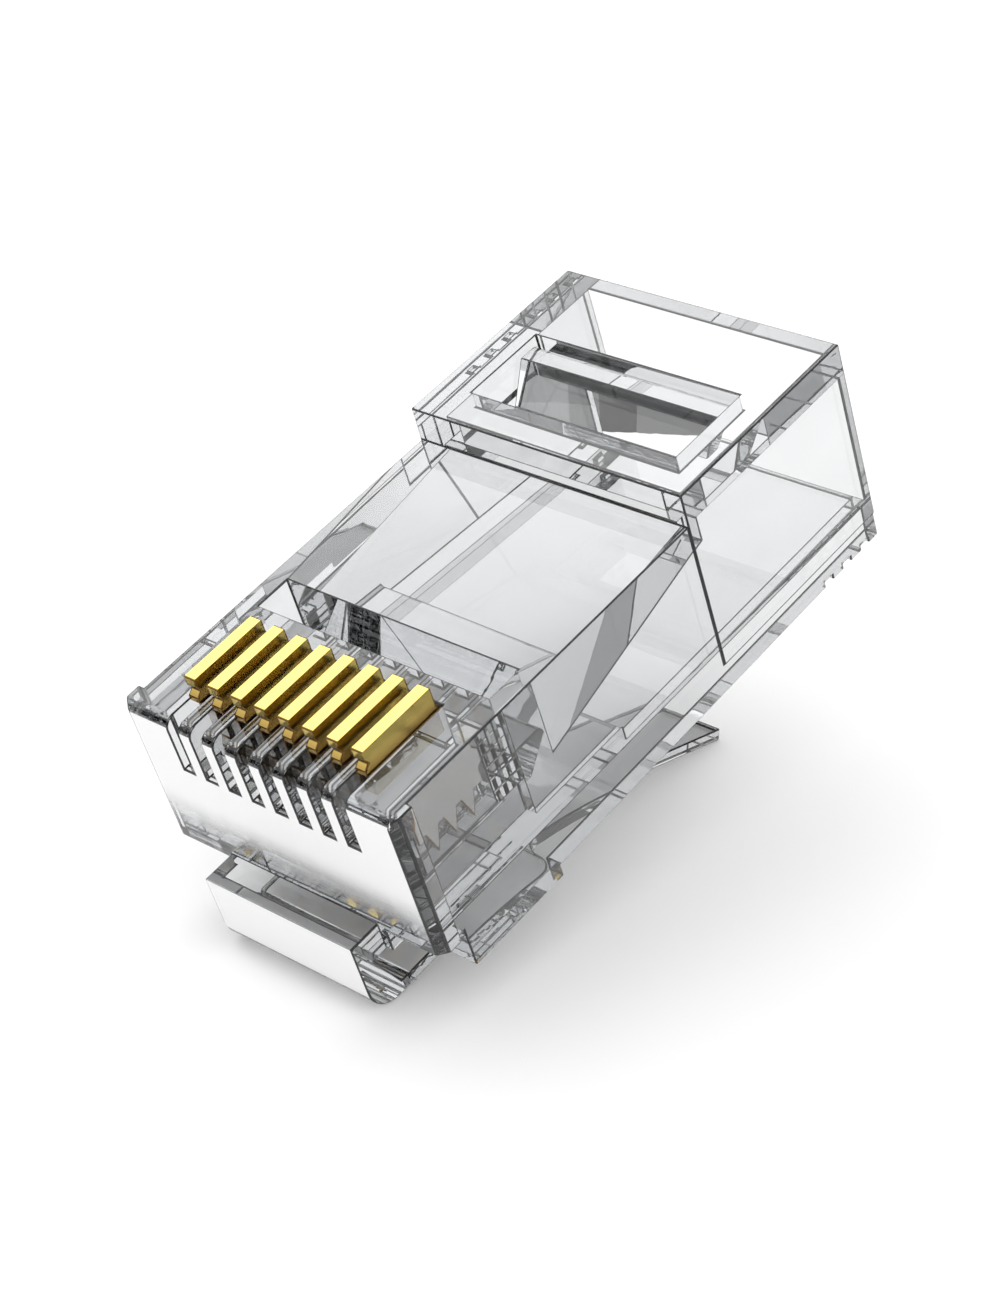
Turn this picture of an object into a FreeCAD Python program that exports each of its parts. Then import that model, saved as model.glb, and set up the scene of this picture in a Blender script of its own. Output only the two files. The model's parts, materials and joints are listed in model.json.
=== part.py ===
import FreeCAD, Part

import math
import os

import Sketcher

# Driving dimensions in millimetres and degrees, in the plug's own directions:
# X across the plug, Y back from the nose face, Z up to the contact side.
SIZES = {
    # nose flange
    "nose_half_width": 5.84,
    "nose_depth": 0.85,
    "nose_bevel": 0.3,
    "nose_edge_radius": 0.4,
    # body, from the nose back to the raised rear section
    "body_half_width": 5.6,
    "body_top": 5.6,
    "rear_start": 13.93,
    "rear_end": 22.06,
    "rear_half_width": 5.65,
    "rear_top": 6.84,
    "front_wall": 0.6,
    # blocks and rails under both sides
    "rail_width": 1.3,
    "rail_drop": 1.05,
    "rail_end_drop": 0.92,
    "block_start": 1.2,
    "block_end": 5.35,
    "block_drop": 1.5,
    "notch_pitch": 1.0,
    "notch_length": 0.4,
    "notch_depth": 0.3,
    "notch_first": 0.5,
    # contacts
    "contact_pitch": 1.016,
    "contact_thickness": 0.46,
    "contact_front": 1.23,
    "contact_length": 3.02,
    "contact_proud": 0.85,
    "contact_lip": 0.11,
    "contact_tooth": 0.17,
    "contact_notch_height": 0.17,
    "tine_tip": 2.25,
    "tine_root": 3.15,
    "tine_half_width": 0.3,
    "tine_pitch": 0.8,
    "contact_travel": 1.2,
    "slot_clearance": 0.02,
    "slot_end_clearance": 0.04,
    "slot_front_floor": 3.6,
    # wire channels
    "channel_width": 0.9,
    "channel_floor": 1.0,
    "channel_roof": 2.1,
    # conductor clamp and its pocket
    "pocket_start": 5.3,
    "pocket_length": 1.35,
    "pocket_half_width": 4.9,
    "clamp_clearance": 0.05,
    "conductor_clamp_top": 3.55,
    "conductor_clamp_tip": 2.25,
    "conductor_hinge_radius": 0.28,
    # cable cavity
    "cavity_half_width": 4.9,
    "cavity_floor": 0.45,
    "cavity_roof": 5.4,
    "cavity_start": 9.45,
    "ramp_end": 14.6,
    "ramp_high": 4.5,
    "ramp_low": 2.45,
    # jacket clamp and its window
    "window_start": 15.4,
    "window_length": 3.32,
    "window_half_width": 4.27,
    "jacket_clamp_sink": 0.27,
    "jacket_clamp_edge": 0.92,
    "jacket_clamp_tip_sink": 1.94,
    "jacket_clamp_slope": 59.0,
    "jacket_clamp_tip_width": 0.55,
    "jacket_hinge_radius": 0.42,
    # hook under the nose
    "hook_half_width": 3.2,
    "hook_reach": 1.2,
    "hook_top": 0.23,
    "hook_tab_drop": 0.83,
    "hook_tab_wall": 0.6,
    "hook_tab_end": 4.0,
    "hook_slab_half_width": 3.46,
    "hook_radius": 1.0,
    "hook_lip_end": 0.35,
    "hook_mouth_front": 0.07,
    # latch lever
    "lever_bottom": 2.75,
    "lever_thickness": 0.42,
    "lever_gap": 0.02,
    "lever_level_end": 1.5,
    "lever_bend_radius": 23.7,
    "lever_slope": 24.0,
    "lever_reach": 16.47,
    "lever_shoulder": 6.5,
    "shoulder_radius": 0.8,
    "tail_half_width": 1.62,
}
CONTACTS = 8
RAIL_NOTCHES = 3
PLANE_X = "YZ_Plane"
PLANE_Y = "XZ_Plane"
PLANE_Z = "XY_Plane"


class Term:
    """A length or angle that keeps both its value and the formula behind it."""

    def __init__(self, value, formula):
        self.value = value
        self.formula = formula

    def __add__(self, other):
        other = term(other)
        return Term(self.value + other.value, "(%s + %s)" % (self.formula, other.formula))

    def __sub__(self, other):
        other = term(other)
        return Term(self.value - other.value, "(%s - %s)" % (self.formula, other.formula))

    def __mul__(self, other):
        other = term(other)
        return Term(self.value * other.value, "(%s * %s)" % (self.formula, other.formula))

    def __truediv__(self, other):
        other = term(other)
        return Term(self.value / other.value, "(%s / %s)" % (self.formula, other.formula))

    def __neg__(self):
        return Term(-self.value, "(-1 * %s)" % self.formula)


def term(number):
    """A plain number as a Term."""
    if isinstance(number, Term):
        return number
    return Term(float(number), "%.6f" % number)


def sine(angle):
    return Term(math.sin(math.radians(angle.value)), "sin(%s * 1 deg)" % angle.formula)


def cosine(angle):
    return Term(math.cos(math.radians(angle.value)), "cos(%s * 1 deg)" % angle.formula)


def tangent(angle):
    return Term(math.tan(math.radians(angle.value)), "tan(%s * 1 deg)" % angle.formula)


def fill_sheet(doc):
    """Write the driving dimensions into the sheet and return them as terms."""
    sheet = doc.addObject("Spreadsheet::Sheet", "Sizes")
    for row, (name, value) in enumerate(SIZES.items(), start=1):
        sheet.set("A%d" % row, name)
        sheet.set("B%d" % row, str(value))
        sheet.setAlias("B%d" % row, name)
    doc.recompute()
    return {name: Term(float(sheet.get(name)), "Sizes." + name) for name in SIZES}


def origin_plane(body, role):
    """The body's own origin plane of that role."""
    for feature in body.Origin.OriginFeatures:
        if feature.Role == role:
            return feature
    raise ValueError(role)


def arc_edge(first, last, radius):
    """Arc between two points; a positive radius has its centre on the left of the way."""
    du, dv = last[0] - first[0], last[1] - first[1]
    chord = math.hypot(du, dv)
    rise = math.sqrt(radius * radius - chord * chord / 4) * (1 if radius > 0 else -1)
    centre = ((first[0] + last[0]) / 2 - dv / chord * rise, (first[1] + last[1]) / 2 + du / chord * rise)
    start, end = (first, last) if radius > 0 else (last, first)
    angles = [math.atan2(p[1] - centre[1], p[0] - centre[0]) for p in (start, end)]
    circle = Part.Circle(FreeCAD.Vector(centre[0], centre[1], 0), FreeCAD.Vector(0, 0, 1), abs(radius))
    return Part.ArcOfCircle(circle, angles[0], angles[1])


def add_outline(sketch, corners):
    """Add one closed outline. A corner is (u, v), or (u, v, radius) where an arc leaves it."""
    base = sketch.GeometryCount
    count = len(corners)
    points = [(corner[0].value, corner[1].value) for corner in corners]
    ends = []
    for i, corner in enumerate(corners):
        first, last = points[i], points[(i + 1) % count]
        if len(corner) == 3:
            sketch.addGeometry(arc_edge(first, last, corner[2].value), False)
            ends.append((1, 2) if corner[2].value > 0 else (2, 1))
        else:
            ends_at = [FreeCAD.Vector(point[0], point[1], 0) for point in (first, last)]
            sketch.addGeometry(Part.LineSegment(*ends_at), False)
            ends.append((1, 2))
    for i, corner in enumerate(corners):
        after = (i + 1) % count
        joint = Sketcher.Constraint("Coincident", base + i, ends[i][1], base + after, ends[after][0])
        sketch.addConstraint(joint)
        for kind, size in (("DistanceX", corner[0]), ("DistanceY", corner[1])):
            index = sketch.addConstraint(Sketcher.Constraint(kind, -1, 1, base + i, ends[i][0], size.value))
            sketch.setExpression("Constraints[%d]" % index, size.formula)
        if len(corner) == 3:
            index = sketch.addConstraint(Sketcher.Constraint("Radius", base + i, abs(corner[2].value)))
            sign = "" if corner[2].value > 0 else "-1 * "
            sketch.setExpression("Constraints[%d]" % index, sign + corner[2].formula)


def box_corners(u_low, v_low, u_high, v_high):
    """The four corners of an upright rectangle."""
    return [(u_low, v_low), (u_high, v_low), (u_high, v_high), (u_low, v_high)]


def make_sketch(body, name, plane, outlines, offset=None):
    """A sketch on an origin plane, moved along the plane's normal by offset."""
    sketch = body.newObject("Sketcher::SketchObject", name)
    sketch.AttachmentSupport = [(origin_plane(body, plane), "")]
    sketch.MapMode = "FlatFace"
    if offset is not None:
        sketch.setExpression(".AttachmentOffset.Base.z", offset.formula)
    for corners in outlines:
        add_outline(sketch, corners)
    return sketch


def add_feature(body, kind, name, plane, outlines, length, offset=None, symmetric=False, back=False):
    """A Pad or Pocket of the outlines, length long, from the offset plane or about it."""
    sketch = make_sketch(body, name + "_outline", plane, outlines, offset)
    feature = body.newObject("PartDesign::" + kind, name)
    feature.Profile = sketch
    feature.setExpression("Length", length.formula)
    feature.SideType = "Symmetric" if symmetric else "One side"
    feature.Reversed = back
    return feature


def make_body(doc, label):
    body = doc.addObject("PartDesign::Body", label)
    body.Label = label
    return body


def contact_places(d):
    """The X of each contact, from the left to the right."""
    middle = (CONTACTS - 1) / 2
    return [d["contact_pitch"] * (i - middle) for i in range(CONTACTS)]


def lever_line(d):
    """Named points of the lever's bottom and top edges, at its bend and at its tip."""
    bottom = -d["lever_bottom"]
    top = bottom + d["lever_thickness"]
    radius = d["lever_bend_radius"]
    inner = radius + d["lever_thickness"]
    start = d["lever_level_end"]
    along, across = sine(d["lever_slope"]), cosine(d["lever_slope"])
    fall = -(radius * (term(1) - across))
    tip_y = d["lever_reach"]
    tip_z = bottom + fall - (tip_y - start - radius * along) * tangent(d["lever_slope"])
    return {
        "bottom": bottom,
        "top": top,
        "bottom_bend": (start + radius * along, bottom + fall),
        "top_bend": (start + inner * along, top - inner * (term(1) - across)),
        "bottom_tip": (tip_y, tip_z),
        "top_tip": (tip_y + d["lever_thickness"] * along, tip_z + d["lever_thickness"] * across),
        "inner_radius": inner,
    }


def rest_placement(d):
    """Turn and lift that set the hook's rounding and the lever's tip on the floor."""
    tip = lever_line(d)["bottom_tip"]
    centre_y = d["hook_radius"].value - d["hook_reach"].value
    centre_z = d["hook_radius"].value - d["lever_bottom"].value
    away_y, away_z = tip[0].value - centre_y, tip[1].value - centre_z
    distance = math.hypot(away_y, away_z)
    tilt = math.asin(-d["hook_radius"].value / distance) - math.atan2(away_z, away_y)
    lift = d["hook_radius"].value - centre_y * math.sin(tilt) - centre_z * math.cos(tilt)
    turn = FreeCAD.Rotation(FreeCAD.Vector(1, 0, 0), math.degrees(tilt))
    return FreeCAD.Placement(FreeCAD.Vector(0, 0, lift), turn)


def rest_on_floor(doc, d, bodies):
    """Lay the plug at rest, with the origin on the floor under the middle of its box."""
    placement = rest_placement(d)
    for body in bodies:
        body.Placement = placement
    doc.recompute()
    box = FreeCAD.BoundBox()
    for body in bodies:
        box.add(body.Shape.BoundBox)
    placement.Base = placement.Base - FreeCAD.Vector(0, (box.YMin + box.YMax) / 2, 0)
    for body in bodies:
        body.Placement = placement
    doc.recompute()


def add_shell(body, d):
    """Nose flange, body and raised rear section."""
    zero = term(0)
    step = d["nose_half_width"] - d["nose_bevel"]
    flange = [
        (-step, zero), (step, zero), (d["nose_half_width"], d["nose_bevel"]),
        (d["nose_half_width"], d["nose_depth"]), (-d["nose_half_width"], d["nose_depth"]),
        (-d["nose_half_width"], d["nose_bevel"]),
    ]
    add_feature(body, "Pad", "nose", PLANE_Z, [flange], d["body_top"])
    front = box_corners(d["nose_bevel"], zero, d["rear_start"], d["body_top"])
    add_feature(body, "Pad", "front_body", PLANE_X, [front], d["body_half_width"] * 2, symmetric=True)
    rear = box_corners(d["rear_start"], zero, d["rear_end"], d["rear_top"])
    add_feature(body, "Pad", "rear_body", PLANE_X, [rear], d["rear_half_width"] * 2, symmetric=True)


def add_rails(body, d):
    """Blocks and rails under both sides, with the notches at the rails' ends."""
    outer = d["body_half_width"]
    inner = outer - d["rail_width"]
    zero = term(0)
    rail = [
        (d["block_end"], zero), (d["block_end"], -d["rail_drop"]),
        (d["rear_end"], -d["rail_end_drop"]), (d["rear_end"], zero),
    ]
    block = box_corners(d["block_start"], -d["block_drop"], d["block_end"], zero)
    for side, name, shape in (
        (1, "right_rail", rail), (-1, "left_rail", rail),
        (1, "right_block", block), (-1, "left_block", block),
    ):
        offset = inner if side > 0 else -outer
        add_feature(body, "Pad", name, PLANE_X, [shape], d["rail_width"], offset=offset)
    notches = []
    bottom = -d["rail_drop"]
    for i in range(RAIL_NOTCHES):
        end = d["rear_end"] - d["notch_first"] - d["notch_pitch"] * i
        notches.append(box_corners(end - d["notch_length"], bottom, end, bottom + d["notch_depth"]))
    for offset, name in ((outer - d["notch_depth"], "right_notches"), (-outer, "left_notches")):
        add_feature(body, "Pocket", name, PLANE_X, notches, d["notch_depth"], offset=offset, back=True)


def add_hook(body, d):
    """Tab under the nose, with the hook that curls down and back to the lever's root."""
    line = lever_line(d)
    front = -d["hook_reach"]
    under = -d["hook_tab_drop"]
    lip = d["hook_lip_end"]
    profile = [
        (front, d["hook_top"]), (front, line["bottom"] + d["hook_radius"], d["hook_radius"]),
        (front + d["hook_radius"], line["bottom"]), (lip, line["bottom"]), (lip, line["top"]),
        (d["hook_mouth_front"], line["top"]), (front + d["hook_tab_wall"], under),
        (d["nose_depth"], under), (d["nose_depth"], d["hook_top"]),
    ]
    add_feature(body, "Pad", "hook", PLANE_X, [profile], d["hook_half_width"] * 2, symmetric=True)
    slab = box_corners(term(0), under, d["hook_tab_end"], term(0))
    add_feature(body, "Pad", "hook_slab", PLANE_X, [slab], d["hook_slab_half_width"] * 2, symmetric=True)


def cut_nose_edge(body, d):
    """Round the nose's top front edge."""
    radius = d["nose_edge_radius"]
    top = d["body_top"]
    waste = [(term(0), top - radius, -radius), (radius, top), (term(0), top)]
    add_feature(body, "Pocket", "nose_edge", PLANE_X, [waste], d["nose_half_width"] * 2, symmetric=True)


def contact_slot(d):
    """Side outline of one contact's slot, deep enough for the contact's travel."""
    front = d["contact_front"] - d["contact_lip"] - d["slot_end_clearance"]
    rear = d["contact_front"] + d["contact_length"] + d["contact_tooth"] + d["slot_end_clearance"]
    floor = d["tine_tip"] - d["contact_travel"] - d["slot_clearance"]
    above = d["body_top"]
    return [
        (term(0), d["slot_front_floor"]), (front, d["slot_front_floor"]), (front, floor),
        (rear, floor), (rear, above), (term(0), above),
    ]


def cut_contact_slots(body, d):
    """Slots that hold the contacts and open through the nose face."""
    width = d["contact_thickness"] + d["slot_clearance"] * 2
    for number, place in enumerate(contact_places(d), start=1):
        add_feature(body, "Pocket", "slot_%d" % number, PLANE_X, [contact_slot(d)], width,
                    offset=place, symmetric=True)


def cut_channels(body, d):
    """Wire channels from the nose's wall back to the conductor clamp."""
    half = d["channel_width"] / 2
    outlines = []
    for place in contact_places(d):
        outlines.append(box_corners(place - half, d["channel_floor"], place + half, d["channel_roof"]))
    length = d["pocket_start"] - d["front_wall"]
    add_feature(body, "Pocket", "channels", PLANE_Y, outlines, length, offset=-d["front_wall"])


def cut_cavity(body, d):
    """Cable cavity with its sloping roof, and the clamps' pocket and window."""
    pocket_end = d["pocket_start"] + d["pocket_length"]
    profile = [
        (d["pocket_start"], d["channel_floor"]), (d["cavity_start"], d["channel_floor"]),
        (d["cavity_start"], d["cavity_floor"]), (d["rear_end"], d["cavity_floor"]),
        (d["rear_end"], d["cavity_roof"]), (d["ramp_end"], d["cavity_roof"]), (d["ramp_end"], d["ramp_high"]),
        (pocket_end, d["ramp_low"]), (d["pocket_start"], d["ramp_low"]),
    ]
    width = d["cavity_half_width"] * 2
    add_feature(body, "Pocket", "cavity", PLANE_X, [profile], width, symmetric=True)
    pocket = box_corners(d["pocket_start"], d["channel_floor"], pocket_end, d["body_top"])
    add_feature(body, "Pocket", "pocket", PLANE_X, [pocket], d["pocket_half_width"] * 2, symmetric=True)
    window_end = d["window_start"] + d["window_length"]
    window = box_corners(d["window_start"], d["cavity_roof"], window_end, d["rear_top"])
    add_feature(body, "Pocket", "window", PLANE_X, [window], d["window_half_width"] * 2, symmetric=True)


def make_housing(doc, d):
    body = make_body(doc, "housing")
    add_shell(body, d)
    add_rails(body, d)
    add_hook(body, d)
    cut_nose_edge(body, d)
    cut_contact_slots(body, d)
    cut_channels(body, d)
    cut_cavity(body, d)
    return body


def make_latch(doc, d):
    """Lever with a wide front, rounded shoulders and a narrow tail."""
    body = make_body(doc, "latch")
    line = lever_line(d)
    half = d["lever_thickness"] / 2
    root = d["hook_lip_end"] + d["lever_gap"] + half
    start = d["lever_level_end"]
    profile = [
        (root, line["bottom"]), (start, line["bottom"], -d["lever_bend_radius"]),
        line["bottom_bend"], line["bottom_tip"], line["top_tip"],
        (line["top_bend"][0], line["top_bend"][1], line["inner_radius"]),
        (start, line["top"]), (root, line["top"], half), (root - half, line["bottom"] + half, half),
    ]
    add_feature(body, "Pad", "lever", PLANE_X, [profile], d["hook_half_width"] * 2, symmetric=True)
    wide, slim, curve = d["hook_half_width"], d["tail_half_width"], d["shoulder_radius"]
    shoulder = d["lever_shoulder"]
    beyond = line["top_tip"][0] + curve
    waste = []
    for side in (1, -1):
        waste.append([
            (wide * side, shoulder - curve, curve * side), ((wide - curve) * side, shoulder),
            ((slim + curve) * side, shoulder, curve * -side), (slim * side, shoulder + curve),
            (slim * side, beyond), (wide * side, beyond),
        ])
    depth = d["lever_thickness"] - line["bottom_tip"][1]
    add_feature(body, "Pocket", "shoulders", PLANE_Z, waste, depth)
    return body


def tine_points(d, floor):
    """Zigzag of the three tines, from the front to the rear."""
    middle = d["contact_front"] + d["contact_length"] / 2
    points = []
    for step in (-1, 0, 1):
        centre = middle + d["tine_pitch"] * step
        points.append((centre - d["tine_half_width"], floor))
        points.append((centre, d["tine_tip"]))
        points.append((centre + d["tine_half_width"], floor))
    return points


def contact_outline(d):
    """Side outline of a contact: crown, front lip, three tines and two rear teeth."""
    front = d["contact_front"]
    rear = front + d["contact_length"]
    lip = front - d["contact_lip"]
    neck = front + d["contact_lip"]
    tooth = rear + d["contact_tooth"]
    crown = d["body_top"] + d["contact_proud"]
    step = d["contact_notch_height"]
    low = d["tine_root"]
    return [
        (front, crown), (front, crown - step * 2), (neck, crown - step * 3), (lip, crown - step * 4),
        (lip, crown - step * 5), (neck, crown - step * 7), (neck, low + step * 6), (front, low + step * 4),
        (front, low), *tine_points(d, low), (rear, low), (rear, low + step * 3), (tooth, low + step * 4),
        (tooth, low + step * 7), (rear, low + step * 8), (rear, low + step * 10), (tooth, low + step * 11),
        (tooth, crown - step * 5), (rear, crown - step * 4), (rear, crown),
    ]


def make_contact(doc, d, number, place):
    body = make_body(doc, "contact_%d" % number)
    outline = contact_outline(d)
    add_feature(body, "Pad", "blade_%d" % number, PLANE_X, [outline], d["contact_thickness"],
                offset=place, symmetric=True)
    return body


def make_conductor_clamp(doc, d):
    """Bar in the front pocket that presses the wires down, with a rounded top rear edge."""
    body = make_body(doc, "conductor_clamp")
    radius = d["conductor_hinge_radius"]
    front = d["pocket_start"] + d["clamp_clearance"]
    rear = d["pocket_start"] + d["pocket_length"] - d["clamp_clearance"]
    top = d["conductor_clamp_top"]
    tip = d["conductor_clamp_tip"]
    profile = [
        (front, top), (front, tip), (front + radius, tip), (rear, top - radius, radius), (rear - radius, top),
    ]
    width = (d["pocket_half_width"] - d["clamp_clearance"]) * 2
    add_feature(body, "Pad", "conductor_bar", PLANE_X, [profile], width, symmetric=True)
    return body


def make_jacket_clamp(doc, d):
    """Flap in the rear window, hinged along its top rear edge, with its edge towards the nose."""
    body = make_body(doc, "jacket_clamp")
    radius = d["jacket_hinge_radius"]
    rear = d["window_start"] + d["window_length"] - d["clamp_clearance"]
    top = d["rear_top"] - d["jacket_clamp_sink"]
    tip = d["rear_top"] - d["jacket_clamp_tip_sink"]
    edge = rear - d["jacket_clamp_edge"]
    tip_front = edge - (top - tip) / tangent(d["jacket_clamp_slope"])
    profile = [
        (edge, top), (tip_front, tip), (tip_front + d["jacket_clamp_tip_width"], tip),
        (rear, top - radius, radius), (rear - radius, top),
    ]
    width = (d["window_half_width"] - d["clamp_clearance"]) * 2
    add_feature(body, "Pad", "jacket_flap", PLANE_X, [profile], width, symmetric=True)
    return body


def check_document(doc, bodies):
    """Stop unless every object was built and every piece is one valid solid."""
    for thing in doc.Objects:
        if "Invalid" in thing.State or "Error" in thing.State:
            raise RuntimeError("%s was not built: %s" % (thing.Name, thing.State))
    for body in bodies:
        shape = body.Shape
        if shape.isNull() or not shape.isValid() or len(shape.Solids) != 1:
            raise RuntimeError("%s is not one valid solid" % body.Label)


def main():
    doc = FreeCAD.newDocument("modular_plug")
    d = fill_sheet(doc)
    bodies = [make(doc, d) for make in (make_housing, make_latch, make_conductor_clamp, make_jacket_clamp)]
    for number, place in enumerate(contact_places(d), start=1):
        bodies.append(make_contact(doc, d, number, place))
    rest_on_floor(doc, d, bodies)
    check_document(doc, bodies)
    os.makedirs("parts", exist_ok=True)
    for body in bodies:
        body.Shape.exportStep("parts/%s.step" % body.Label)
        box = body.Shape.BoundBox
        print("%-16s volume %9.3f  %s" % (body.Label, body.Shape.Volume, box))
    return doc, d, bodies


if __name__ == "__main__":
    main()
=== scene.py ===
import json
import math

import bpy
from mathutils import Matrix, Vector

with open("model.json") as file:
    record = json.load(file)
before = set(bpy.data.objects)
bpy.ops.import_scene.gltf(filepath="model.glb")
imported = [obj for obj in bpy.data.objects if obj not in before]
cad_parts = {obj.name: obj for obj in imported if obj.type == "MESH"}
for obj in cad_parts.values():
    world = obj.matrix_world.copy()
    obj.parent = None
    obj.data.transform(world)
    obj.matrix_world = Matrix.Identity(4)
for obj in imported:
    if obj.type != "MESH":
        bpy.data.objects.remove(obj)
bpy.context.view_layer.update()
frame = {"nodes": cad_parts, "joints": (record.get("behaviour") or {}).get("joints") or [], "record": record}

MM = 0.001
WHITE = (1.0, 1.0, 1.0, 1.0)

# Camera, in the plug's own directions and millimetres: X across it, Y back from the nose, Z to the contacts.
CAMERA_PLACE = (58.11, -34.42, 60.78)
CAMERA_AIM = (0.0, 9.98, 1.73)
CAMERA_ROLL_DEG = 18.26
CAMERA_LENS_MM = 82.5
CAMERA_SENSOR_MM = 36.0
CAMERA_NEAREST = 0.005
CAMERA_FARTHEST = 10.0

# Height of the nose mount over the nose's bottom, in millimetres.
NOSE_MOUNT_HEIGHT = 1.8

# Fine rounding of the moulded and stamped edges, and the painted shade on its strips on the plastic.
WELD_DISTANCE = 0.001 * MM
EDGE_ANGLE_DEG = 12.0
EDGE_WIDTH = 0.05 * MM
EDGE_STEPS = 3
EDGE_SLOT = 1
EDGE_PAINTED_SHADE = (0.04, 0.04, 0.042, 1.0)
EDGE_SHINE = 0.1
EDGE_CLEARNESS = 0.35
EDGE_SMOOTH = 0.05
EDGE_ROUGH = 0.15

# Clear polycarbonate. Its frosted faces are named by their place behind the nose face, its side walls,
# slightly clouded and darkened with painted shade, by their place across the plug, and the frost on the nose
# by its height, all in millimetres.
PLASTIC_IOR = 1.585
PLASTIC_TINT = (0.88, 0.885, 0.89, 1.0)
PLASTIC_DEPTH_COLOR = (0.80, 0.81, 0.82, 1.0)
PLASTIC_DEPTH = 130.0
NOSE_FACE = 0.0
HOOK_FACE = -1.2
FROSTED_TINT = (0.99, 0.99, 0.99, 1.0)
FROSTED_CLEARNESS = 0.08
FROSTED_ROUGHNESS = 0.45
FROST_BOTTOM = 0.4
FROST_TOP = 2.4
SIDE_WALLS = (-5.65, -5.6, 5.6, 5.65)
# Painted shade on the side walls: two tints darker than the plastic, mixed at random by the cloud grain.
SIDE_PAINTED_SHADE_DARK = (0.59, 0.595, 0.60, 1.0)
SIDE_PAINTED_SHADE_PALE = (0.75, 0.755, 0.76, 1.0)
CLOUD_GRAIN = (0.5, 0.25, 0.5)
HAZE_START = 0.75
PLASTIC_RIPPLE = 0.002

# A point is on a face up to the first distance and off it from the second on, in millimetres.
ON_FACE = 0.01
OFF_FACE = 0.03
GRAIN_DETAIL = 3.0

# Floor: half its width, its colour, and the part of its white that it gives off by itself.
FLOOR_HALF = 1.0
FLOOR_ALBEDO = 0.86
FLOOR_LIFT = 0.14

# Cards that stand round the plug, as (azimuth from, azimuth to, bottom, top, shade), in degrees and
# millimetres. Azimuth 0 is behind the plug and 90 is at its left. The low ones show in mirroring faces and
# through more surfaces of plastic than a straight look through the plug passes. The others show only through
# the plastic.
CARD_DISTANCE = 52.0
CARD_STEP = 15
SURFACES_SEEN_THROUGH = 4
LOW_CARDS = ((-180, 180, 0.0, 20.0, 0.03),)
HIGH_CARDS = ((-75, -30, 20.0, 42.0, 0.03), (15, 90, 20.0, 56.0, 0.03), (120, 150, 32.0, 64.0, 0.5))
BACK_CARDS = (
    (30, 34, 0.0, 6.0, 0.25), (34, 36, 0.0, 6.0, 0.12), (36, 38, 0.0, 6.0, 0.25), (38, 42, 0.0, 6.0, 0.45))

# Soft lamp behind and above the plug's left, which its gold mirrors to the camera.
LAMP_TOWARD = (-0.592, 0.257, 0.764)
LAMP_DISTANCE = 1.0
LAMP_SIZE = 1.0
LAMP_POWER = 3.0

# Light is followed this far inside the clear walls.
LIGHT_BOUNCES = 24

# Brightness of the surround by the sine of the elevation, and a bright patch in front of the plug, whose edge
# and core are cosines of the angle from its middle.
SKY_STRENGTH = 1.08
SKY_STOPS = ((0.0, 0.9), (0.30, 0.9), (0.62, 1.0), (1.0, 1.0))
BRIGHT_TOWARD = (-0.30, -0.86, 0.42)
BRIGHT_EDGE = 0.80
BRIGHT_CORE = 0.92

# Contacts: nickel low on the blade, then gold with painted shade that fades out towards the crown. Heights
# are in millimetres.
NICKEL_TOP = 4.9
GOLD_BOTTOM = 5.4
GOLD_SHADE_TOP = 6.42
NICKEL = (0.55, 0.54, 0.52, 1.0)
GOLD_PAINTED_SHADE = (0.30, 0.155, 0.045, 1.0)
GOLD_HIGH = (0.92, 0.71, 0.20, 1.0)
GOLD_GRAIN = (12.0, 1.5, 12.0)
GOLD_SMOOTH = 0.08
GOLD_ROUGH = 0.22
GOLD_RIPPLE = 0.001

# Painted shade on the contacts' edges.
GOLD_EDGE_PAINTED_SHADE = (0.22, 0.13, 0.04, 1.0)

# Nodes by material.
CLEAR_NODES = ("housing", "latch", "conductor_clamp", "jacket_clamp")
CONTACT_NODES = tuple("contact_%d" % number for number in range(1, 9))


def plug_to_row():
    """Matrix from the plug's own directions, in millimetres, to the row frame, in metres."""
    down = next(Vector(joint["axis"]) for joint in frame["joints"] if joint["name"] == "contact_1_crimp")
    mounts = frame["record"]["mounts"]
    nose = next(Vector(mount["pos_m"]) for mount in mounts if mount["name"] == "nose_face")
    up = -down.normalized()
    across = Vector((1.0, 0.0, 0.0))
    back = up.cross(across)
    turn = Matrix((across, back, up)).transposed()
    origin = nose - up * NOSE_MOUNT_HEIGHT * MM
    return Matrix.Translation(origin) @ turn.to_4x4() @ Matrix.Scale(MM, 4)


def add_camera():
    """Camera at the photo's viewing angle."""
    to_row = plug_to_row()
    place = to_row @ Vector(CAMERA_PLACE)
    look = (to_row @ Vector(CAMERA_AIM) - place).normalized()
    plug_up = (to_row.to_3x3() @ Vector((0.0, 0.0, 1.0))).normalized()
    level = look.cross(plug_up).normalized()
    upward = level.cross(look)
    roll = math.radians(CAMERA_ROLL_DEG)
    right = level * math.cos(roll) - upward * math.sin(roll)
    top = right.cross(look)
    data = bpy.data.cameras.new("camera")
    data.lens = CAMERA_LENS_MM
    data.sensor_width = CAMERA_SENSOR_MM
    data.clip_start = CAMERA_NEAREST
    data.clip_end = CAMERA_FARTHEST
    camera = bpy.data.objects.new("camera", data)
    bpy.context.scene.collection.objects.link(camera)
    turn = Matrix((right, top, -look)).transposed()
    camera.matrix_world = Matrix.Translation(place) @ turn.to_4x4()
    bpy.context.scene.camera = camera


def new_material(name):
    """An empty node material, its node list and a function that links two sockets."""
    material = bpy.data.materials.new(name)
    material.use_nodes = True
    nodes = material.node_tree.nodes
    nodes.clear()
    return material, nodes, material.node_tree.links.new


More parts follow.
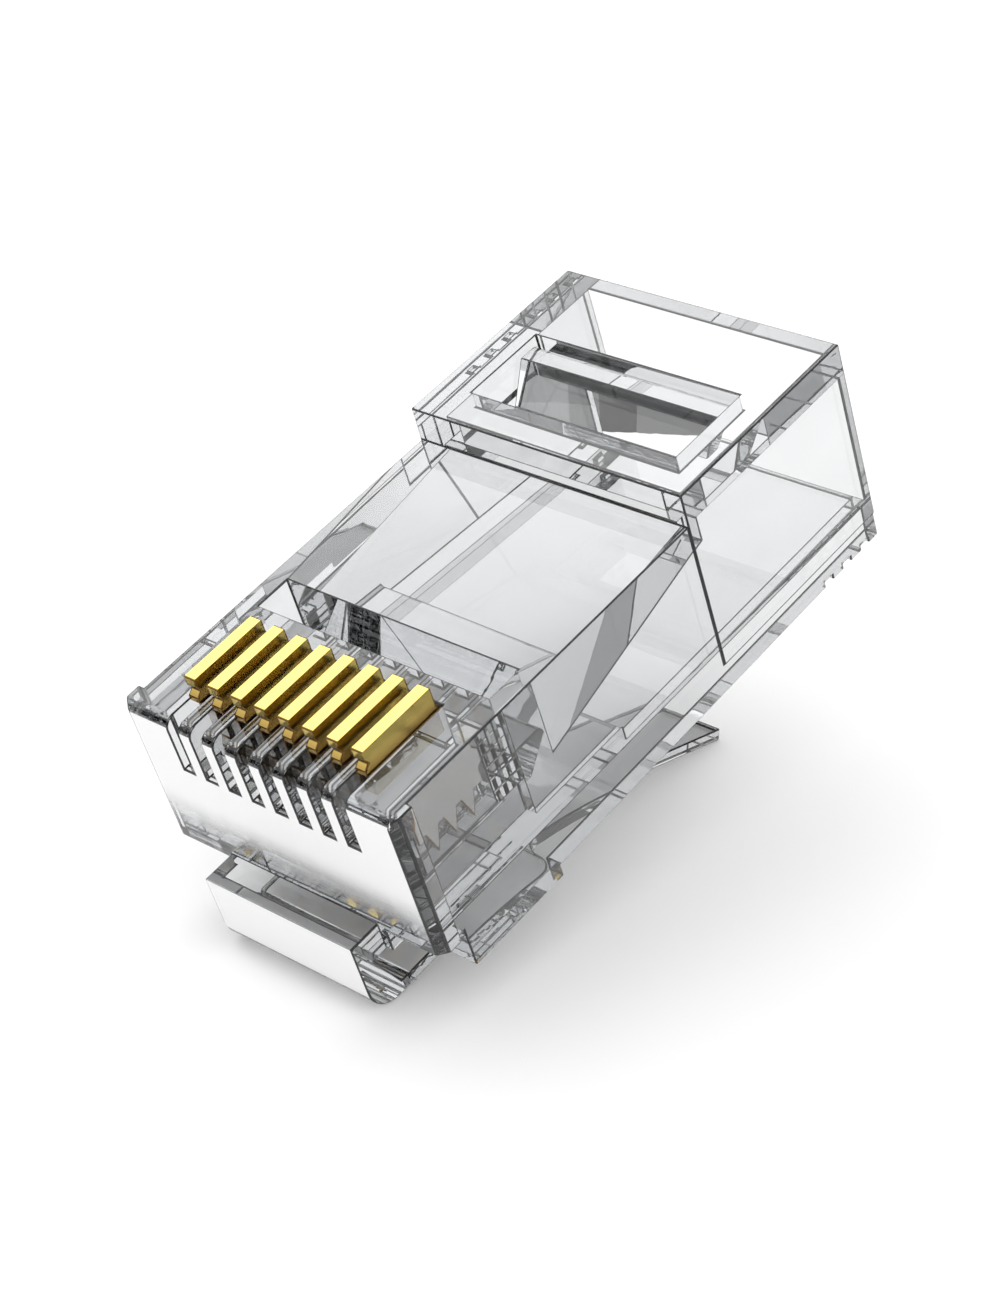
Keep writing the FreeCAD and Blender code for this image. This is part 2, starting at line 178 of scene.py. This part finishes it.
def along_plug(nodes, link, direction):
    """Distance in millimetres along one of the plug's own directions, from the nose's bottom middle."""
    to_row = plug_to_row()
    axis = (to_row.to_3x3() @ Vector(direction)) / MM
    place = nodes.new("ShaderNodeTexCoord")
    offset = nodes.new("ShaderNodeVectorMath")
    offset.operation = "SUBTRACT"
    offset.inputs[1].default_value = to_row.translation
    link(place.outputs["Object"], offset.inputs[0])
    project = nodes.new("ShaderNodeVectorMath")
    project.operation = "DOT_PRODUCT"
    project.inputs[1].default_value = axis / MM
    link(offset.outputs["Vector"], project.inputs[0])
    return project.outputs["Value"]


def step_between(nodes, link, value, low, high):
    """0 below low, 1 above high, and a smooth rise between."""
    rise = nodes.new("ShaderNodeMapRange")
    rise.interpolation_type = "SMOOTHSTEP"
    rise.inputs["From Min"].default_value = low
    rise.inputs["From Max"].default_value = high
    link(value, rise.inputs["Value"])
    return rise.outputs["Result"]


def close_to(nodes, link, value, place):
    """1 where the value, in millimetres, is on the face at the place, and 0 where it is off it."""
    apart = nodes.new("ShaderNodeMath")
    apart.operation = "SUBTRACT"
    apart.inputs[1].default_value = place
    link(value, apart.inputs[0])
    away = nodes.new("ShaderNodeMath")
    away.operation = "ABSOLUTE"
    link(apart.outputs["Value"], away.inputs[0])
    fall = nodes.new("ShaderNodeMapRange")
    fall.interpolation_type = "SMOOTHSTEP"
    fall.inputs["From Min"].default_value = ON_FACE
    fall.inputs["From Max"].default_value = OFF_FACE
    fall.inputs["To Min"].default_value = 1.0
    fall.inputs["To Max"].default_value = 0.0
    link(away.outputs["Value"], fall.inputs["Value"])
    return fall.outputs["Result"]


def mixed(nodes, link, factor, first, second):
    """Colour between two colours, each a value or a socket, by a factor socket."""
    mix = nodes.new("ShaderNodeMix")
    mix.data_type = "RGBA"
    link(factor, mix.inputs["Factor"])
    for name, colour in (("A", first), ("B", second)):
        if isinstance(colour, tuple):
            mix.inputs[name].default_value = colour
        else:
            link(colour, mix.inputs[name])
    return mix.outputs["Result"]


def ranged(nodes, link, value, first, second):
    """Number between two numbers, by a value from 0 to 1."""
    reach = nodes.new("ShaderNodeMapRange")
    reach.inputs["To Min"].default_value = first
    reach.inputs["To Max"].default_value = second
    link(value, reach.inputs["Value"])
    return reach.outputs["Result"]


def combined(nodes, link, operation, first, second):
    """One number from two number sockets."""
    both = nodes.new("ShaderNodeMath")
    both.operation = operation
    link(first, both.inputs[0])
    link(second, both.inputs[1])
    return both.outputs["Value"]


def greatest(nodes, link, values):
    """The greatest of some number sockets."""
    most = values[0]
    for value in values[1:]:
        most = combined(nodes, link, "MAXIMUM", most, value)
    return most


def grain(nodes, link, stretch):
    """Fine noise over the object. Stretch is the grains per millimetre across, back and up."""
    place = nodes.new("ShaderNodeTexCoord")
    scale = nodes.new("ShaderNodeVectorMath")
    scale.operation = "MULTIPLY"
    scale.inputs[1].default_value = [count / MM for count in stretch]
    link(place.outputs["Object"], scale.inputs[0])
    noise = nodes.new("ShaderNodeTexNoise")
    noise.inputs["Scale"].default_value = 1.0
    noise.inputs["Detail"].default_value = GRAIN_DETAIL
    link(scale.outputs["Vector"], noise.inputs["Vector"])
    return noise.outputs["Fac"]


def rippled(nodes, link, shader, height, depth):
    """Bump of the given depth in millimetres on a shader."""
    bump = nodes.new("ShaderNodeBump")
    bump.inputs["Distance"].default_value = depth * MM
    link(height, bump.inputs["Height"])
    link(bump.outputs["Normal"], shader.inputs["Normal"])


def principled(name):
    """A node material with one Principled shader on its surface."""
    material, nodes, link = new_material(name)
    output = nodes.new("ShaderNodeOutputMaterial")
    shader = nodes.new("ShaderNodeBsdfPrincipled")
    link(shader.outputs["BSDF"], output.inputs["Surface"])
    return material, nodes, link, shader


def clear_plastic():
    """Polished clear polycarbonate, with frosted front faces, and side walls slightly clouded and darkened
    with painted shade.
    """
    material, nodes, link, shader = principled("clear_polycarbonate")
    shader.inputs["IOR"].default_value = PLASTIC_IOR
    back = along_plug(nodes, link, (0.0, 1.0, 0.0))
    across = along_plug(nodes, link, (1.0, 0.0, 0.0))
    height = along_plug(nodes, link, (0.0, 0.0, 1.0))
    nose = close_to(nodes, link, back, NOSE_FACE)
    hook = close_to(nodes, link, back, HOOK_FACE)
    risen = step_between(nodes, link, height, FROST_BOTTOM, FROST_TOP)
    frosted = combined(nodes, link, "MAXIMUM", combined(nodes, link, "MULTIPLY", nose, risen), hook)
    # Painted shade on the side walls, in tints mixed at random by the cloud grain.
    walls = greatest(nodes, link, [close_to(nodes, link, across, place) for place in SIDE_WALLS])
    clouds = grain(nodes, link, CLOUD_GRAIN)
    clouded_painted_shade = mixed(nodes, link, clouds, SIDE_PAINTED_SHADE_DARK, SIDE_PAINTED_SHADE_PALE)
    tint = mixed(nodes, link, walls, PLASTIC_TINT, clouded_painted_shade)
    link(mixed(nodes, link, frosted, tint, FROSTED_TINT), shader.inputs["Base Color"])
    link(ranged(nodes, link, frosted, 1.0, FROSTED_CLEARNESS), shader.inputs["Transmission Weight"])
    haze = step_between(nodes, link, clouds, HAZE_START, 1.0)
    rough = combined(nodes, link, "MAXIMUM", haze, ranged(nodes, link, frosted, 0.0, FROSTED_ROUGHNESS))
    link(rough, shader.inputs["Roughness"])
    rippled(nodes, link, shader, clouds, PLASTIC_RIPPLE)
    depth = nodes.new("ShaderNodeVolumeAbsorption")
    depth.inputs["Color"].default_value = PLASTIC_DEPTH_COLOR
    depth.inputs["Density"].default_value = PLASTIC_DEPTH
    link(depth.outputs["Volume"], nodes["Material Output"].inputs["Volume"])
    return material


def painted_shade_clear_edge():
    """The fine rounding of the moulding's edges, darkened with painted shade."""
    material, nodes, link, shader = principled("clear_polycarbonate_painted_shade_edge")
    # Painted shade: a near-black colour with little shine, which draws dark lines along the edges.
    shader.inputs["Base Color"].default_value = EDGE_PAINTED_SHADE
    shader.inputs["IOR"].default_value = PLASTIC_IOR
    shader.inputs["Specular IOR Level"].default_value = EDGE_SHINE
    shader.inputs["Transmission Weight"].default_value = EDGE_CLEARNESS
    worn = grain(nodes, link, CLOUD_GRAIN)
    link(ranged(nodes, link, worn, EDGE_SMOOTH, EDGE_ROUGH), shader.inputs["Roughness"])
    return material


def gold_plate():
    """Gold plating with painted shade that darkens it down the blade, over bright nickel, with fine rolling
    marks.
    """
    material, nodes, link, shader = principled("gold_plate")
    shader.inputs["Metallic"].default_value = 1.0
    height = along_plug(nodes, link, (0.0, 0.0, 1.0))
    plated = step_between(nodes, link, height, NICKEL_TOP, GOLD_BOTTOM)
    # Painted shade: the gold darkens from its crown down to the bottom of the plating.
    bright = step_between(nodes, link, height, GOLD_BOTTOM, GOLD_SHADE_TOP)
    gold = mixed(nodes, link, bright, GOLD_PAINTED_SHADE, GOLD_HIGH)
    link(mixed(nodes, link, plated, NICKEL, gold), shader.inputs["Base Color"])
    marks = grain(nodes, link, GOLD_GRAIN)
    link(ranged(nodes, link, marks, GOLD_SMOOTH, GOLD_ROUGH), shader.inputs["Roughness"])
    rippled(nodes, link, shader, marks, GOLD_RIPPLE)
    return material


def painted_shade_gold_edge():
    """The rolled edges of the contacts, darkened with painted shade."""
    material, nodes, link, shader = principled("gold_plate_painted_shade_edge")
    shader.inputs["Metallic"].default_value = 1.0
    # Painted shade: a dark colour, which draws dark lines along the contacts' edges.
    shader.inputs["Base Color"].default_value = GOLD_EDGE_PAINTED_SHADE
    marks = grain(nodes, link, GOLD_GRAIN)
    link(ranged(nodes, link, marks, GOLD_SMOOTH, GOLD_ROUGH), shader.inputs["Roughness"])
    return material


def floor_material():
    """Pale floor that shows white where it is lit and keeps the object's shadow."""
    material, nodes, link = new_material("floor")
    output = nodes.new("ShaderNodeOutputMaterial")
    diffuse = nodes.new("ShaderNodeBsdfDiffuse")
    glow = nodes.new("ShaderNodeEmission")
    diffuse.inputs["Color"].default_value = (FLOOR_ALBEDO, FLOOR_ALBEDO, FLOOR_ALBEDO, 1.0)
    glow.inputs["Color"].default_value = (FLOOR_LIFT, FLOOR_LIFT, FLOOR_LIFT, 1.0)
    link(seen_directly(nodes, link), glow.inputs["Strength"])
    add = nodes.new("ShaderNodeAddShader")
    link(diffuse.outputs["BSDF"], add.inputs[0])
    link(glow.outputs["Emission"], add.inputs[1])
    link(add.outputs["Shader"], output.inputs["Surface"])
    return material


def seen_directly(nodes, link):
    """1 for camera, glossy and transmission rays, and 0 for the rays that light the object."""
    path = nodes.new("ShaderNodeLightPath")
    rays = ("Is Camera Ray", "Is Glossy Ray", "Is Transmission Ray")
    return greatest(nodes, link, [path.outputs[ray] for ray in rays])


def add_floor():
    """Pale floor under the plug."""
    half = FLOOR_HALF
    mesh = bpy.data.meshes.new("floor")
    corners = [(-half, -half, 0), (half, -half, 0), (half, half, 0), (-half, half, 0)]
    mesh.from_pydata(corners, [], [(0, 1, 2, 3)])
    floor = bpy.data.objects.new("floor", mesh)
    bpy.context.scene.collection.objects.link(floor)
    mesh.materials.append(floor_material())


def card_material(shade, passed):
    """An even grey that shows in mirroring faces, and through more surfaces of plastic than those passed."""
    material, nodes, link = new_material("card")
    output = nodes.new("ShaderNodeOutputMaterial")
    glow = nodes.new("ShaderNodeEmission")
    glow.inputs["Color"].default_value = (shade, shade, shade, 1.0)
    path = nodes.new("ShaderNodeLightPath")
    deep = nodes.new("ShaderNodeMath")
    deep.operation = "GREATER_THAN"
    deep.inputs[1].default_value = passed + 0.5
    link(path.outputs["Transmission Depth"], deep.inputs[0])
    shown = combined(nodes, link, "MAXIMUM", deep.outputs["Value"], path.outputs["Is Reflection Ray"])
    clear = nodes.new("ShaderNodeBsdfTransparent")
    choice = nodes.new("ShaderNodeMixShader")
    link(shown, choice.inputs["Fac"])
    link(clear.outputs["BSDF"], choice.inputs[1])
    link(glow.outputs["Emission"], choice.inputs[2])
    link(choice.outputs["Shader"], output.inputs["Surface"])
    return material


def add_cards():
    """Dark and grey cards round the plug, which draw the dark lines and patches in clear plastic."""
    groups = ((LOW_CARDS, True, SURFACES_SEEN_THROUGH), (HIGH_CARDS + BACK_CARDS, False, 0))
    for cards, mirrored, passed in groups:
        for first, last, bottom, top, shade in cards:
            card = card_object(first, last, bottom, top)
            card.data.materials.append(card_material(shade, passed))
            card.visible_camera = False
            card.visible_diffuse = False
            card.visible_shadow = False
            card.visible_glossy = mirrored


def card_object(first, last, bottom, top):
    """An upright card that follows a circle round the plug from one azimuth to another."""
    corners, faces = [], []
    steps = math.ceil((last - first) / CARD_STEP)
    for step in range(steps + 1):
        turn = math.radians(first + (last - first) * step / steps)
        x, y = -math.sin(turn) * CARD_DISTANCE * MM, math.cos(turn) * CARD_DISTANCE * MM
        corners += [(x, y, bottom * MM), (x, y, top * MM)]
        if len(corners) > 2:
            end = len(corners)
            faces.append((end - 4, end - 2, end - 1, end - 3))
    mesh = bpy.data.meshes.new("card")
    mesh.from_pydata(corners, [], faces)
    card = bpy.data.objects.new("card", mesh)
    bpy.context.scene.collection.objects.link(card)
    return card


def add_lamp():
    """Soft lamp that lights the plug and shows in its gold."""
    data = bpy.data.lights.new("soft_lamp", "AREA")
    data.size = LAMP_SIZE
    data.energy = LAMP_POWER
    lamp = bpy.data.objects.new("soft_lamp", data)
    bpy.context.scene.collection.objects.link(lamp)
    toward = Vector(LAMP_TOWARD)
    lamp.location = toward * LAMP_DISTANCE
    lamp.rotation_euler = toward.to_track_quat("Z", "Y").to_euler()
    lamp.visible_transmission = False


def brightness_over(nodes, link, position, stops):
    """A ramp of plain brightness over a value, from (position, brightness) stops."""
    ramp = nodes.new("ShaderNodeValToRGB")
    elements = ramp.color_ramp.elements
    ramp.color_ramp.interpolation = "EASE"
    while len(elements) < len(stops):
        elements.new(0.5)
    for element, (place, level) in zip(elements, stops):
        element.position = place
        element.color = (level, level, level, 1.0)
    link(position, ramp.inputs["Fac"])
    return ramp.outputs["Color"]


def add_world():
    """White background, and a soft surround that lights the object, dimmer at the horizon than overhead."""
    world = bpy.data.worlds.new("studio")
    bpy.context.scene.world = world
    world.use_nodes = True
    nodes = world.node_tree.nodes
    nodes.clear()
    link = world.node_tree.links.new
    output = nodes.new("ShaderNodeOutputWorld")
    place = nodes.new("ShaderNodeTexCoord")
    split = nodes.new("ShaderNodeSeparateXYZ")
    link(place.outputs["Generated"], split.inputs["Vector"])
    ceiling = brightness_over(nodes, link, split.outputs["Z"], SKY_STOPS)
    toward = nodes.new("ShaderNodeVectorMath")
    toward.operation = "DOT_PRODUCT"
    toward.inputs[1].default_value = BRIGHT_TOWARD
    link(place.outputs["Generated"], toward.inputs[0])
    patch = step_between(nodes, link, toward.outputs["Value"], BRIGHT_EDGE, BRIGHT_CORE)
    surround = nodes.new("ShaderNodeBackground")
    surround.inputs["Strength"].default_value = SKY_STRENGTH
    link(mixed(nodes, link, patch, ceiling, WHITE), surround.inputs["Color"])
    white = nodes.new("ShaderNodeBackground")
    white.inputs["Color"].default_value = WHITE
    white.inputs["Strength"].default_value = 1.0
    choice = nodes.new("ShaderNodeMixShader")
    link(seen_directly(nodes, link), choice.inputs["Fac"])
    link(surround.outputs["Background"], choice.inputs[1])
    link(white.outputs["Background"], choice.inputs[2])
    link(choice.outputs["Shader"], output.inputs["Surface"])


def smooth_edges():
    """Geometry nodes group that shades the edge strips, in slot 1, smooth and keeps the faces flat."""
    group = bpy.data.node_groups.new("smooth_edges", "GeometryNodeTree")
    group.interface.new_socket("Geometry", in_out="INPUT", socket_type="NodeSocketGeometry")
    group.interface.new_socket("Geometry", in_out="OUTPUT", socket_type="NodeSocketGeometry")
    start = group.nodes.new("NodeGroupInput")
    slot = group.nodes.new("GeometryNodeInputMaterialIndex")
    smooth = group.nodes.new("GeometryNodeSetShadeSmooth")
    end = group.nodes.new("NodeGroupOutput")
    group.links.new(start.outputs["Geometry"], smooth.inputs["Geometry"])
    group.links.new(slot.outputs["Material Index"], smooth.inputs["Shade Smooth"])
    group.links.new(smooth.outputs["Geometry"], end.inputs["Geometry"])
    return group


def dress(node, material, edge, smooth):
    """Give a node its materials, and fine rounded edges where its faces meet at an angle."""
    piece = frame["nodes"][node]
    piece.data.materials.clear()
    piece.data.materials.append(material)
    # The second material goes on the edge strips and carries painted shade.
    piece.data.materials.append(edge)
    weld = piece.modifiers.new("weld", "WELD")
    weld.merge_threshold = WELD_DISTANCE
    bevel = piece.modifiers.new("edges", "BEVEL")
    bevel.width = EDGE_WIDTH
    bevel.segments = EDGE_STEPS
    bevel.limit_method = "ANGLE"
    bevel.angle_limit = math.radians(EDGE_ANGLE_DEG)
    bevel.use_clamp_overlap = False
    bevel.material = EDGE_SLOT
    shading = piece.modifiers.new("smooth_edges", "NODES")
    shading.node_group = smooth


def main():
    """Dress the plug and build the stage, the light and the camera."""
    clear = clear_plastic()
    edge = painted_shade_clear_edge()
    gold = gold_plate()
    shaded_gold_edge = painted_shade_gold_edge()
    smooth = smooth_edges()
    for node in CLEAR_NODES:
        dress(node, clear, edge, smooth)
    for node in CONTACT_NODES:
        dress(node, gold, shaded_gold_edge, smooth)
    add_floor()
    add_cards()
    add_lamp()
    add_world()
    add_camera()
    scene = bpy.context.scene
    scene.view_settings.view_transform = "Standard"
    scene.cycles.max_bounces = LIGHT_BOUNCES
    scene.cycles.glossy_bounces = LIGHT_BOUNCES
    scene.cycles.transmission_bounces = LIGHT_BOUNCES


main()
